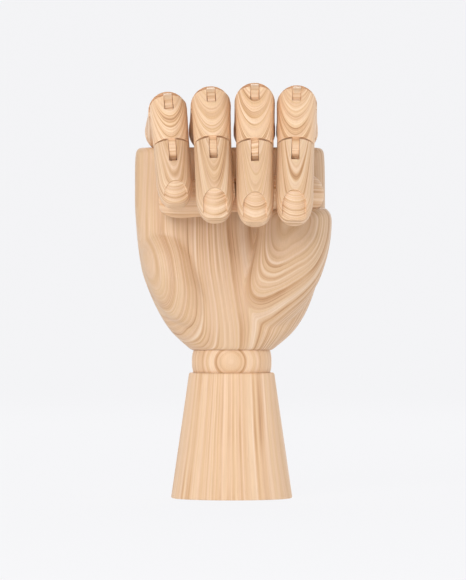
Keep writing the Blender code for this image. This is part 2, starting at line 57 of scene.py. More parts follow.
# Sizes of the turned pieces, in mm
BALL_R = 19.6
DISH_GAP = 0.3
BASE_TOP_R = 21.0
BASE_BOTTOM_R = 29.65
BASE_HEIGHT = 61.5
BASE_BORE_R = 2.4
BASE_TOP_EDGE = 1.1
BASE_LOW_EDGE = 0.7
FOOT_CHAMBER_R = 12.0
FOOT_CHAMBER_TOP = 32.0
PLUG_TOP = 4.7
PLUG_EDGE = 0.4
KNUCKLE_R = 10.35
GROOVE_R = 10.47
PROXIMAL_R = 9.75
MIDDLE_R = 9.3
DISTAL_R = 8.95
BORE_R = 1.15
ROD_BORE_R = 1.5
PIP_LIP = 3.0
MIDDLE_LIP = 2.3
PIP_SLOPE = math.radians(10.5)
PIP_BEVEL = math.radians(47)
PROXIMAL_BEVEL = math.radians(42)
PIP_TONGUE_R = 8.15
PIP_TONGUE_LOW = 0.89  # how far the tongue is flattened on the back of the finger
PIP_TONGUE_TOP = 7.35  # nothing of the tongue reaches this far from the joint on that side
PIP_TONGUE_W = 4.0
PIP_SLOT_W = 4.35
DIP_SEAM = 4.2
DIP_BEVEL = math.radians(24)
DIP_TONGUE_W = 3.55
DIP_SLOT_W = 3.75
DIP_TONGUE_REACH = 5.4
DIP_TONGUE_SUNK = 1.1
DIP_SLOT_REACH = 6.7
SEAM_GAP = 0.3
NAIL_STEP = 0.85  # how deep the nail is set at its root
NAIL_ROUND = 12.0  # the radius it is rounded to from side to side
NAIL_START = 0.63  # where its root lies, as a share of the distal length
NAIL_SLOPE = math.radians(20)

# Room in the palm for the wrist's rod and spring, from the ball's centre
WRIST_SEAT = 30.0
WRIST_CHAMBER_TOP = 50.0
WRIST_CHAMBER_HALF = 6.3
WRIST_SPREAD = 26.0

# Palm sections, in mm: height, left edge, right edge, half thickness, squareness
PALM_SECTIONS = (
    (72.2, -19.4, 19.4, 19.4, 2.0),
    (73.4, -20.9, 21.0, 20.4, 2.0),
    (82.3, -30.2, 30.8, 20.2, 2.2),
    (92.1, -36.3, 36.9, 19.4, 2.5),
    (101.9, -40.7, 40.6, 18.4, 2.8),
    (111.7, -44.0, 43.2, 17.5, 3.1),
    (121.5, -45.6, 44.6, 16.9, 3.4),
    (131.3, -46.6, 45.3, 16.5, 3.6),
    (146.0, -47.4, 45.7, 16.2, 3.8),
    (160.0, -47.4, 45.6, 16.0, 3.9),
    (169.8, -46.9, 45.1, 15.8, 3.9),
    (171.5, -45.4, 43.6, 14.4, 3.9),
)
# Mounds: height, centre X and Y, half width, half depth
THENAR_SECTIONS = (
    (80.0, 13.0, -6.0, 7.0, 9.0),
    (90.0, 19.0, -9.0, 13.0, 13.0),
    (100.0, 22.5, -13.0, 16.6, 15.0),
    (110.0, 26.0, -16.0, 18.0, 17.0),
    (120.0, 28.8, -18.5, 18.1, 18.4),
    (130.0, 30.5, -20.0, 17.9, 19.0),
    (137.0, 31.0, -20.5, 17.6, 18.9),
    (140.3, 31.0, -20.5, 16.2, 17.6),
    (141.8, 31.0, -20.5, 14.4, 15.8),
)
HYPOTHENAR_SECTIONS = (
    (80.0, -13.0, -6.0, 7.0, 10.0),
    (90.0, -20.0, -6.5, 13.0, 14.0),
    (103.0, -25.5, -7.0, 14.6, 15.6),
    (116.0, -29.5, -6.0, 14.6, 14.6),
    (127.0, -31.0, -4.0, 13.0, 12.4),
    (134.0, -31.5, -2.0, 9.0, 10.0),
)
# How finely the palm is lofted; then the voxels (mm), smoothing passes and share of faces kept when sanding
PALM_STEP = 1.5
PALM_AROUND = 200
BLOCK_VOXEL = 0.8
BLOCK_PASSES = 14
PALM_VOXEL = 0.5
PALM_PASSES = 3
PALM_KEEP = 0.5
FINGER_VOXEL = 0.28
FINGER_PASSES = 3
FINGER_KEEP = 0.35
TIP_VOXEL = 0.2
TIP_KEEP = 0.25

# The camera stands level, in metres from the foot's centre
CAMERA_PLACE = (0.00064, -2.4, 0.1019)
CAMERA_LENS = 304.0
BACKDROP = (0.913, 0.913, 0.930)
BACKDROP_GLOW = 0.96
SURROUND_R = 6.6

# Soft square lights that face the hand: name, place and size in metres, power in watts
LIGHTS = (
    ("key", (-0.5, -1.8, 0.8), 0.8, 21.0),
    ("left", (-1.7, -0.5, 0.4), 0.7, 3.0),
    ("right", (1.7, -0.5, 0.4), 0.7, 7.0),
    ("back", (0.0, 1.4, 1.3), 1.0, 8.0),
)
LIGHT_AIM = (0.0, 0.0, 0.11)
WORLD_LIGHT = 0.34

# name, scale, bend of the last knuckle in the fist, distal length
FINGERS = (
    ("pinky", 0.965, 5.0, 27.1),
    ("ring", 1.0, 7.0, 35.7),
    ("middle", 1.0, 6.0, 35.9),
    ("index", 1.0, 7.0, 36.2),
)
THUMB_BEND = 4.0
THUMB_TIP = 33.0
THUMB_NAIL_TURN = math.radians(-50)
THUMB_NAIL_SLOPE = math.radians(17)
THUMB_NAIL_START = 0.5

# Wood colours, as light as they fall in the growth rings
PALE = (0.93, 0.71, 0.535)
EARLY = (0.88, 0.635, 0.44)
MID = (0.81, 0.545, 0.35)
LATE = (0.69, 0.415, 0.235)
LINE = (0.50, 0.255, 0.12)
YELLOW = (0.96, 0.935, 0.83)
# End grain's darker tone, which on the proximals' ends also serves as painted shade of the knuckle's wedge
END_GRAIN_AND_SHADE = (0.74, 0.58, 0.46)
# Sawn wood inside slots and bores, dark as painted shade of the recess
SAWN_AND_SHADE = (0.42, 0.21, 0.10)
FINGER_CONTRAST = 0.8


def node(tree, kind, **settings):
    made = tree.nodes.new(kind)
    for name, value in settings.items():
        setattr(made, name, value)
    return made


def link(tree, source, target):
    tree.links.new(source, target)


def math_node(tree, operation, *values):
    """A Math node; each input is a socket or a number."""
    made = node(tree, "ShaderNodeMath", operation=operation)
    for socket, value in zip(made.inputs, values):
        if isinstance(value, (int, float)):
            socket.default_value = value
        else:
            link(tree, value, socket)
    return made.outputs[0]


def vector_node(tree, operation, a, b):
    made = node(tree, "ShaderNodeVectorMath", operation=operation)
    for socket, value in zip(made.inputs, (a, b)):
        if isinstance(value, (tuple, float, int)):
            socket.default_value = value if isinstance(value, tuple) else (value,) * 3
        else:
            link(tree, value, socket)
    return made.outputs[0]


def noise(tree, vector, scale, detail, roughness=0.5):
    made = node(tree, "ShaderNodeTexNoise")
    made.inputs["Scale"].default_value = scale
    made.inputs["Detail"].default_value = detail
    made.inputs["Roughness"].default_value = roughness
    link(tree, vector, made.inputs["Vector"])
    return made


def stretched_noise(tree, vector, scales, detail, roughness=0.5):
    """Noise with its own scale along each axis."""
    stretched = vector_node(tree, "MULTIPLY", vector, scales)
    return noise(tree, stretched, 1.0, detail, roughness).outputs["Fac"]


def tinted(color, tone):
    return tuple(c * tone for c in color)


def ramp(tree, factor, stops):
    made = node(tree, "ShaderNodeValToRGB")
    elements = made.color_ramp.elements
    for position, value in stops[2:]:
        elements.new(position)
    for element, (position, value) in zip(elements, stops):
        element.position = position
        element.color = (*value, 1.0) if isinstance(value, tuple) else (value, value, value, 1.0)
    link(tree, factor, made.inputs["Fac"])
    return made.outputs["Color"]


def mix(tree, factor, a, b, blend="MIX"):
    made = node(tree, "ShaderNodeMix", data_type="RGBA", blend_type=blend)
    for name, value in (("Factor", factor), ("A", a), ("B", b)):
        socket = made.inputs[name]
        if isinstance(value, (int, float)):
            socket.default_value = value
        elif isinstance(value, tuple):
            socket.default_value = (*value, 1.0)
        else:
            link(tree, value, socket)
    return made.outputs["Result"]


def layer_noise(tree, rings, scale, offset, detail, roughness=0.5):
    """A value that depends only on how far out in the log a layer grew."""
    made = node(tree, "ShaderNodeTexNoise", noise_dimensions="1D")
    made.inputs["Scale"].default_value = scale
    made.inputs["Detail"].default_value = detail
    made.inputs["Roughness"].default_value = roughness
    link(tree, math_node(tree, "ADD", rings, offset), made.inputs["W"])
    return made.outputs["Fac"]


def growth(tree, place, pith, tilt, ring, warp, ripple, seed, flare):
    """How many rings out from the log's core each point lies, and its place in the log."""
    if flare:
        height = node(tree, "ShaderNodeSeparateXYZ")
        link(tree, place, height.inputs[0])
        widen = math_node(tree, "MULTIPLY_ADD", height.outputs["Z"], flare[1], flare[0])
        spread = node(tree, "ShaderNodeCombineXYZ")
        for axis in "XY":
            link(tree, widen, spread.inputs[axis])
        spread.inputs["Z"].default_value = 1.0
        place = vector_node(tree, "MULTIPLY", place, spread.outputs[0])
    log = node(tree, "ShaderNodeMapping", vector_type="POINT")
    log.inputs["Location"].default_value = [-v * MM for v in pith]
    log.inputs["Rotation"].default_value = [math.radians(a) for a in tilt]
    link(tree, place, log.inputs["Vector"])
    grown = log.outputs[0]
    shifted = vector_node(tree, "ADD", grown, (seed, seed * 0.7, seed * 1.3))
    bent = grown
    for size, amount, detail in (((42.0, 42.0, 15.0), warp, 1.0), ((210.0, 210.0, 75.0), ripple, 1.5)):
        slow = vector_node(tree, "MULTIPLY", shifted, size)
        drift = noise(tree, slow, 1.0, detail).outputs["Color"]
        drift = vector_node(tree, "SUBTRACT", drift, (0.5, 0.5, 0.5))
        drift = vector_node(tree, "MULTIPLY", drift, (amount * 4 * MM, amount * 4 * MM, 0.0))
        bent = vector_node(tree, "ADD", bent, drift)
    flat = vector_node(tree, "MULTIPLY", bent, (1.0, 1.0, 0.0))
    length = node(tree, "ShaderNodeVectorMath", operation="LENGTH")
    link(tree, flat, length.inputs[0])
    return math_node(tree, "DIVIDE", length.outputs["Value"], ring * MM), shifted


def wood(
    name,
    pith,
    tilt=(0.0, 0.0, 0.0),
    ring=1.5,
    warp=1.0,
    ripple=0.12,
    tone=1.0,
    contrast=1.0,
    seed=0.0,
    flare=None,
    end=0.0,
):
    """Solid wood in the piece's own coordinates.

    The log's core runs along its Z through pith (mm), leaning by tilt (degrees about X, Y and Z). Ring is the
    layers' width in mm, and warp and ripple are how far they wander. Flare is a log that widens towards its
    foot: its width at the piece's origin, and its change per metre. End is how dark its end grain is made; on
    the proximal phalanges' ends, in the knuckle's wedge, that darkening is partly painted shade."""
    material = bpy.data.materials.new(name)
    material.use_nodes = True
    tree = material.node_tree
    shader = tree.nodes["Principled BSDF"]
    place = node(tree, "ShaderNodeTexCoord").outputs["Object"]
    rings, shifted = growth(tree, place, pith, tilt, ring, warp, ripple, seed, flare)
    broad = layer_noise(tree, rings, 0.30, seed * 31.0 + 4.0, 2.0)
    lines = layer_noise(tree, rings, 1.25, seed * 17.0 + 9.0, 4.0, 0.62)
    warmth = layer_noise(tree, rings, 0.7, seed * 23.0 + 40.0, 1.5)
    # Fibres and pores run along the log
    fibre = stretched_noise(tree, shifted, (2300.0, 2300.0, 80.0), 3.0, 0.6)
    pores = stretched_noise(tree, shifted, (3400.0, 3400.0, 260.0), 1.0)
    pores = ramp(tree, pores, [(0.0, 0.0), (0.66, 0.0), (0.74, 1.0)])

    centred = math_node(tree, "SUBTRACT", broad, 0.5)
    depth = math_node(tree, "MULTIPLY_ADD", centred, 1.0 * contrast, 0.5)
    centred = math_node(tree, "SUBTRACT", lines, 0.5)
    depth = math_node(tree, "ADD", depth, math_node(tree, "MULTIPLY", centred, 1.15 * contrast))
    # The figure comes and goes along the log
    slow = stretched_noise(tree, shifted, (75.0, 75.0, 32.0), 1.0)
    slow = ramp(tree, slow, [(0.36, 0.45), (0.62, 1.25)])
    depth = math_node(tree, "MULTIPLY_ADD", math_node(tree, "SUBTRACT", depth, 0.53), slow, 0.53)
    stops = ((0.18, LINE), (0.34, LATE), (0.50, MID), (0.66, EARLY), (0.84, PALE))
    color = ramp(tree, depth, [(position, tinted(shade, tone)) for position, shade in stops])
    yellow = ramp(tree, warmth, [(0.38, (1.0, 1.0, 1.0)), (0.62, YELLOW)])
    color = mix(tree, 0.75, color, yellow, "MULTIPLY")
    streak = ramp(tree, fibre, [(0.3, 0.93), (0.7, 1.05)])
    color = mix(tree, 0.7, color, streak, "MULTIPLY")
    color = mix(tree, math_node(tree, "MULTIPLY", pores, 0.12), color, LINE)
    # Faces square to the log show its end grain, which takes the oil darker; on the proximal phalanges' ends,
    # which sit in the middle knuckle's wedge, this darkening is also painted shade
    facing = node(tree, "ShaderNodeSeparateXYZ")
    link(tree, node(tree, "ShaderNodeTexCoord").outputs["Normal"], facing.inputs[0])
    end_grain_shade = ramp(tree, math_node(tree, "ABSOLUTE", facing.outputs["Z"]), [(0.80, 0.0), (0.95, 1.0)])
    # The tongue's rounded end, in the middle of the face, is left out of this painted shade and stays as
    # light as the sides
    spot = node(tree, "ShaderNodeSeparateXYZ")
    link(tree, place, spot.inputs[0])
    aside = math_node(tree, "ABSOLUTE", spot.outputs["X"])
    beside = math_node(tree, "GREATER_THAN", aside, PIP_TONGUE_W / 2 * MM)
    above = math_node(tree, "GREATER_THAN", spot.outputs["Y"], PIP_TONGUE_TOP * MM)
    end_grain_shade = math_node(tree, "MULTIPLY", end_grain_shade, math_node(tree, "MAXIMUM", beside, above))
    color = mix(tree, math_node(tree, "MULTIPLY", end_grain_shade, end), color, END_GRAIN_AND_SHADE, "MULTIPLY")
    link(tree, color, shader.inputs["Base Color"])
    rough = math_node(tree, "MULTIPLY_ADD", depth, -0.10, 0.46)
    rough = math_node(tree, "ADD", rough, math_node(tree, "MULTIPLY", fibre, 0.08))
    link(tree, rough, shader.inputs["Roughness"])
    shader.inputs["Specular IOR Level"].default_value = 0.4
    bump = node(tree, "ShaderNodeBump")
    bump.inputs["Strength"].default_value = 0.12
    bump.inputs["Distance"].default_value = 0.06 * MM
    grooves = math_node(tree, "SUBTRACT", fibre, math_node(tree, "MULTIPLY", pores, 0.5))
    relief = math_node(tree, "ADD", grooves, math_node(tree, "MULTIPLY", depth, 0.4))
    link(tree, relief, bump.inputs["Height"])
    link(tree, bump.outputs[0], shader.inputs["Normal"])
    return material


def sawn_and_shaded_wood(name):
    """Wood inside a slot or bore: rougher, with the saw's marks across it, and much darker, partly as sawn
    wood and partly as painted shade of the recess.
    """
    material = bpy.data.materials.new(name)
    material.use_nodes = True
    tree = material.node_tree
    shader = tree.nodes["Principled BSDF"]
    place = node(tree, "ShaderNodeTexCoord").outputs["Object"]
    grain = stretched_noise(tree, place, (900.0, 900.0, 3000.0), 3.0)
    tint = ramp(tree, grain, [(0.3, tinted(SAWN_AND_SHADE, 0.8)), (0.7, tinted(SAWN_AND_SHADE, 1.25))])
    link(tree, tint, shader.inputs["Base Color"])
    shader.inputs["Roughness"].default_value = 0.8
    bump = node(tree, "ShaderNodeBump")
    bump.inputs["Strength"].default_value = 0.25
    bump.inputs["Distance"].default_value = 0.05 * MM
    link(tree, grain, bump.inputs["Height"])
    link(tree, bump.outputs[0], shader.inputs["Normal"])
    return material


def steel():
    """Drawn steel wire and rod, with fine lines and a few duller patches."""
    material = bpy.data.materials.new("steel")
    material.use_nodes = True
    tree = material.node_tree
    shader = tree.nodes["Principled BSDF"]
    place = node(tree, "ShaderNodeTexCoord").outputs["Object"]
    lines = stretched_noise(tree, place, (400.0, 4000.0, 4000.0), 2.0)
    dull = noise(tree, place, 160.0, 3.0).outputs["Fac"]
    tint = ramp(tree, dull, [(0.35, (0.45, 0.45, 0.46)), (0.7, (0.66, 0.66, 0.67))])
    link(tree, tint, shader.inputs["Base Color"])
    shader.inputs["Metallic"].default_value = 1.0
    rough = math_node(tree, "ADD", math_node(tree, "MULTIPLY", lines, 0.2), 0.2)
    link(tree, rough, shader.inputs["Roughness"])
    return material


def mesh_object(name, bm, material):
    bmesh.ops.recalc_face_normals(bm, faces=bm.faces)
    mesh = bpy.data.meshes.new(name)
    bm.to_mesh(mesh)
    bm.free()
    obj = bpy.data.objects.new(name, mesh)
    bpy.context.scene.collection.objects.link(obj)
    obj.data.materials.append(material)
    return obj


def turned(name, profile, material, segments=96):
    """A closed turned body. Its profile is (radius, height) in mm, and starts and ends on the axis."""
    bm = bmesh.new()
    rows = []
    for r, z in profile:
        if r < 1e-6:
            rows.append([bm.verts.new((0, 0, z * MM))])
            continue
        ring = []
        for i in range(segments):
            angle = 2 * math.pi * (i + 0.5) / segments
            ring.append(bm.verts.new((r * MM * math.cos(angle), r * MM * math.sin(angle), z * MM)))
        rows.append(ring)
    for high, low in zip(rows, rows[1:]):
        for i in range(segments):
            j = (i + 1) % segments
            around = [high[i % len(high)], high[j % len(high)], low[j % len(low)], low[i % len(low)]]
            corners = list(dict.fromkeys(around))
            if len(corners) > 2:
                bm.faces.new(corners)
    return mesh_object(name, bm, material)


def prism(outline, half, material):
    """A plate with this outline in mm, as points (Y, Z), centred on X = 0."""
    bm = bmesh.new()
    sides = []
    for x in (-half, half):
        sides.append(bm.faces.new([bm.verts.new((x * MM, y * MM, z * MM)) for y, z in outline]))
    low, high = sides
    count = len(outline)
    for i in range(count):
        j = (i + 1) % count
        bm.faces.new((low.verts[i], low.verts[j], high.verts[j], high.verts[i]))
    return mesh_object("cutter", bm, material)


def rod(radius, low, high, material, segments=32, matrix=Matrix.Identity(4)):
    bm = bmesh.new()
    place = matrix @ Matrix.Translation((0, 0, (low + high) / 2 * MM))
    bmesh.ops.create_cone(
        bm,
        cap_ends=True,
        segments=segments,
        radius1=radius * MM,
        radius2=radius * MM,
        depth=(high - low) * MM,
        matrix=place,
    )
    return mesh_object("cutter", bm, material)


def box(low, high, material, matrix=Matrix.Identity(4)):
    low, high = Vector(low) * MM, Vector(high) * MM
    bm = bmesh.new()
    place = matrix @ Matrix.Translation((low + high) / 2) @ Matrix.Diagonal((*(high - low), 1.0))
    bmesh.ops.create_cube(bm, size=1.0, matrix=place)
    return mesh_object("cutter", bm, material)


def across():
    return Matrix.Rotation(math.pi / 2, 4, "Y")


def arc(centre_r, centre_z, radius, start, end, steps):
    points = []
    for i in range(steps + 1):
        angle = math.radians(start + (end - start) * i / steps)
        points.append((centre_r + radius * math.cos(angle), centre_z + radius * math.sin(angle)))
    return points


def carve(obj, steps):
    """Applies each (operation, other piece) in turn, and removes the other piece."""
    for operation, other in steps:
        modifier = obj.modifiers.new("carve", "BOOLEAN")
        modifier.operation = operation
        modifier.solver = "EXACT"
        modifier.material_mode = "TRANSFER"
        modifier.object = other
    settle(obj)
    for _, other in steps:
        bpy.data.objects.remove(other, do_unlink=True)


def settle(obj):
    """Makes the modifiers' result the mesh itself."""
    graph = bpy.context.evaluated_depsgraph_get()
    made = bpy.data.meshes.new_from_object(obj.evaluated_get(graph), depsgraph=graph)
    obj.modifiers.clear()
    obj.data = made


def soften(obj, width):
    """Rounds the sharp edges by a width in mm, and shades the rest smooth."""
    bm = bmesh.new()
    bm.from_mesh(obj.data)
    bmesh.ops.remove_doubles(bm, verts=bm.verts, dist=0.02 * MM)
    bmesh.ops.dissolve_degenerate(bm, dist=0.02 * MM, edges=bm.edges)
    bm.to_mesh(obj.data)
    bm.free()
    bevel = obj.modifiers.new("soften", "BEVEL")
    bevel.width = width * MM
    bevel.segments = 3
    bevel.limit_method = "ANGLE"
    bevel.angle_limit = math.radians(32)
    bevel.use_clamp_overlap = False
    bevel.harden_normals = False
    settle(obj)
    obj.data.shade_smooth()
    obj.data.set_sharp_from_angle(angle=math.radians(50))


def joint_place(name, toward, lean=0.0):
    """The frame of a phalanx: X along the joint's axis, Z from the joint towards a point."""
    joint = JOINTS[name]
    start = Vector(joint["pos_m"])
    x = Vector(joint["axis"]).normalized()
    z = toward - start
    z = (z - x * z.dot(x)).normalized()
    z = Matrix.Rotation(math.radians(lean), 3, x) @ z
    y = z.cross(x)
    matrix = Matrix((x, y, z)).transposed().to_4x4()
    matrix.translation = start
    return matrix


def fit(obj, matrix, body, node_name):
    obj.matrix_world = matrix
    bpy.context.view_layer.update()
    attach(obj, body)
    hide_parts(node_name)


def face_cutter(height, slope, bevel, dorsal, facing, material):
    """Takes off a phalanx's end: a sloping face on the back half, and a steeper bevel on the palm half."""
    reach = 30.0
    at_middle = height - facing * dorsal * math.tan(slope)
    below = at_middle - facing * reach * math.tan(bevel)
    above = height + facing * 8 * math.tan(slope)
    far = height + facing * reach
    outline = [(dorsal + 8, above), (0.0, at_middle), (-reach, below), (-reach, far), (dorsal + 8, far)]
    return prism(outline, 14.0, material)


def pip_tongue(length, scale, material):
    """The round-ended plate of the middle knuckle, rooted inside the first phalanx."""
    radius = PIP_TONGUE_R * scale
    high, low, root = 0.97 * radius, -2.0, length - 14
    start = math.degrees(-math.acos(high / radius))
    end = 180 + math.degrees(math.acos(-low / radius))
    outline = [(high, root)] + arc(0.0, length, radius, start, end, 60) + [(low, root)]
    outline = [(y * PIP_TONGUE_LOW if y > 0 else y, z) for y, z in outline]
    return prism(outline, PIP_TONGUE_W / 2, material)


def pip_slot(radius, material):
    """Room for that plate to turn in, open on the back of the finger down to its end."""
    room = PIP_TONGUE_R + 0.35
    out = radius + 3
    end = 5.2
    inner = math.sqrt(room**2 - end**2)
    start = math.degrees(math.asin(end / room))
    outline = [(out, -14), (out, end), (inner, end)] + arc(0.0, 0.0, room, start, 180 - start, 48)
    outline += [(-inner, 3.5), (-out, 3.5), (-out, -14)]
    return prism(outline, PIP_SLOT_W / 2, material)


def dip_tongue(length, radius, material):
    """The plate of the last knuckle: nearly as thick as the finger, with a square-shouldered round end."""
    half = radius - DIP_TONGUE_SUNK
    outline = [(-half, length - 8)]
    for i in range(41):
        angle = -math.pi / 2 + math.pi * i / 40
        y = half * math.copysign(abs(math.sin(angle)) ** (2 / 3), angle)
        outline.append((y, length + DIP_TONGUE_REACH * abs(math.cos(angle)) ** (2 / 3)))
    outline += [(half, length - 8)]
    return prism(outline, DIP_TONGUE_W / 2, material)


def bore(height, material):
    return rod(BORE_R, -20, 20, material, 24, Matrix.Translation((0, 0, height * MM)) @ across())


def knuckle_slot(material):
    return box((-1.9, -14, -14), (1.9, 4.4, 4.4), material)


def ball_end(neck):
    """The profile of a knuckle ball from its neck round to its foot."""
    points = neck + arc(0.0, 0.0, KNUCKLE_R, 20, -90, 30)
    points[-1] = (0.0, -KNUCKLE_R)
    return points


def make_proximal(name, length, scale, material):
    end_r = PROXIMAL_R * scale
    neck = [(0.0, length + 4), (end_r, length + 4), (end_r, length - 12), (end_r * 1.005, 20)]
    neck += [(KNUCKLE_R * 0.955, 12), (KNUCKLE_R * 0.972, 8), (KNUCKLE_R * 0.985, 5)]
    obj = turned(name, ball_end(neck), material)
    height = length - PIP_LIP - SEAM_GAP
    steps = [("DIFFERENCE", face_cutter(height, PIP_SLOPE, PROXIMAL_BEVEL, end_r, 1, material))]
    steps += [("UNION", pip_tongue(length, scale, material))]
    steps += [("DIFFERENCE", bore(length, material))]
    steps += [("DIFFERENCE", knuckle_slot(material)), ("DIFFERENCE", bore(0.0, material))]
    carve(obj, steps)
    sand(obj, FINGER_VOXEL / FINE, FINGER_PASSES, FINGER_KEEP)
    return obj


def make_middle(name, length, scale, material):
    near_r = MIDDLE_R * scale
    far_r = DISTAL_R * scale + 0.05
    seam = length - DIP_SEAM - SEAM_GAP
    profile = [(0.0, seam + 6), (far_r, seam + 6), (far_r, seam - 4)]
    profile += [(near_r, 6), (near_r, -12), (0.0, -12)]
    obj = turned(name, profile, material)
    steps = [("DIFFERENCE", face_cutter(seam, 0.0, DIP_BEVEL, far_r, 1, material))]
    steps += [("DIFFERENCE", face_cutter(-MIDDLE_LIP, PIP_SLOPE, PIP_BEVEL, near_r, -1, material))]
    steps += [("DIFFERENCE", pip_slot(near_r, material))]
    steps += [("UNION", dip_tongue(length, far_r, material))]
    steps += [("DIFFERENCE", bore(0.0, material)), ("DIFFERENCE", bore(length, material))]
    carve(obj, steps)
    sand(obj, FINGER_VOXEL / FINE, FINGER_PASSES, FINGER_KEEP)
    return obj


def tip_profile(radius, tip):
    """A fingertip that rounds off from a small flat."""
    round_len, flat = 12.5, 2.6
    points = [(0.0, tip), (flat * 0.86, tip), (flat, tip - 0.12)]
    for i in range(1, 31):
        angle = math.pi / 2 * i / 30
        r = flat + (radius - flat) * math.sin(angle) ** 0.92
        points.append((r, tip - round_len + round_len * math.cos(angle)))
    return points


def nail_cutter(start, radius, slope, around, material):
    """The nail: a shallow curved cut with a round end, set in so that it leaves a step at its root."""
    half, root, reach = 0.64 * radius, 0.8 * radius, 45.0
    outline = [(half * math.cos(a), root * (1 - math.sin(a))) for a in np.linspace(0.0, math.pi, 33)]
    outline += [(-half, reach), (half, reach)]
    bm = bmesh.new()
    low, high = (
        bm.faces.new([bm.verts.new((x * MM, y * MM, z * MM)) for x, z in outline]) for y in (-6.0, 10.0)
    )
    for i in range(len(outline)):
        j = (i + 1) % len(outline)
        bm.faces.new((low.verts[i], low.verts[j], high.verts[j], high.verts[i]))
    obj = mesh_object("cutter", bm, material)
    under = Matrix.Translation((0, -(NAIL_STEP + NAIL_ROUND) * MM, 0))
    carve(obj, [("DIFFERENCE", rod(NAIL_ROUND, -5.0, reach + 5.0, material, 96, under))])
    root_place = Matrix.Translation((0, radius * MM, start * MM))
    place = Matrix.Rotation(around, 4, "Z") @ root_place @ Matrix.Rotation(slope, 4, "X")
    return placed(obj, place)


def make_distal(name, tip, radius, material, start=NAIL_START, slope=NAIL_SLOPE, around=0.0):
    profile = tip_profile(radius, tip) + [(radius, -DIP_SEAM - 4), (0.0, -DIP_SEAM - 4)]
    obj = turned(name, profile, material)
    half = DIP_SLOT_W / 2
    steps = [("DIFFERENCE", face_cutter(-DIP_SEAM, 0.0, DIP_BEVEL, radius, -1, material))]
    slot = box((-half, -radius - 3, -DIP_SEAM - 9), (half, radius + 3, DIP_SLOT_REACH), material)
    steps += [("DIFFERENCE", slot)]
    steps += [("DIFFERENCE", nail_cutter(tip * start, radius, slope, around, material))]
    steps += [("DIFFERENCE", bore(0.0, material))]
    carve(obj, steps)
    sand(obj, TIP_VOXEL / FINE, FINGER_PASSES, TIP_KEEP)
    return obj


def finger_wood(name, shift, lean, ring, seed, tone=1.0, end=0.0):
    """Flat-sawn wood. Its layers lie nearly along the back of the finger, so it shows nested U figures."""
    return wood(
        "wood_" + name,
        (shift, -60.0, 0.0),
        tilt=(lean, 0.0, 0.0),
        ring=ring,
        warp=0.3,
        ripple=0.06,
        tone=tone,
        contrast=FINGER_CONTRAST,
        seed=seed,
        end=end,
    )


def make_finger(index, finger, scale, bend, last):
    knuckle, pip, dip = (Vector(JOINTS[f"{finger}_{part}"]["pos_m"]) for part in ("knuckle", "pip", "dip"))
    seed = 0.31 * (index + 1)
    name = finger + "_proximal_wood"
    # Its last 1.0 turns on the darker end faces: end grain, and painted shade in the middle knuckle's wedge
    material = finger_wood(name, 3.0 - index, 9.0, 0.55, seed, 1.0, 1.0)
    obj = make_proximal(name, (pip - knuckle).length / MM, scale, material)
    fit(obj, joint_place(finger + "_knuckle", pip), finger + "_proximal", finger + "_proximal")
    name = finger + "_middle_wood"
    material = finger_wood(name, index - 1.0, 13.0, 0.42, seed + 1, 1.06)
    obj = make_middle(name, (dip - pip).length / MM, scale, material)
    fit(obj, joint_place(finger + "_pip", dip), finger + "_middle", finger + "_middle")
    name = finger + "_distal_wood"
    material = finger_wood(name, 1.0 - index, 5.0, 0.42, seed + 2, 0.93)
    obj = make_distal(name, last, DISTAL_R * scale, material)
    fit(obj, joint_place(finger + "_dip", dip * 2 - pip, bend), finger + "_distal", finger + "_distal")


def make_thumb():
    start, joint = (Vector(JOINTS["thumb_" + part]["pos_m"]) for part in ("knuckle", "tip"))
    length = (joint - start).length / MM
    far_r = DISTAL_R + 0.05
    seam = length - DIP_SEAM - SEAM_GAP
    neck = [(0.0, seam + 6), (far_r, seam + 6), (far_r, 20)]
    neck += [(KNUCKLE_R * 0.925, 12), (KNUCKLE_R * 0.945, 8), (KNUCKLE_R * 0.97, 5)]
    material = finger_wood("thumb_proximal_wood", 2.0, 7.0, 0.55, 2.2)
    obj = turned("thumb_proximal_wood", ball_end(neck), material)
    steps = [("DIFFERENCE", face_cutter(seam, 0.0, DIP_BEVEL, far_r, 1, material))]
    steps += [("UNION", dip_tongue(length, far_r, material)), ("DIFFERENCE", bore(length, material))]
    steps += [("DIFFERENCE", knuckle_slot(material)), ("DIFFERENCE", bore(0.0, material))]
    carve(obj, steps)
    sand(obj, FINGER_VOXEL / FINE, FINGER_PASSES, FINGER_KEEP)
    fit(obj, joint_place("thumb_knuckle", joint), "thumb_proximal", "thumb_proximal")
    material = finger_wood("thumb_distal_wood", -2.0, 6.0, 0.5, 3.1)
    nail = (THUMB_NAIL_START, THUMB_NAIL_SLOPE, THUMB_NAIL_TURN)
    obj = make_distal("thumb_distal_wood", THUMB_TIP, DISTAL_R, material, *nail)
    fit(obj, joint_place("thumb_tip", joint * 2 - start, THUMB_BEND), "thumb_distal", "thumb_distal")


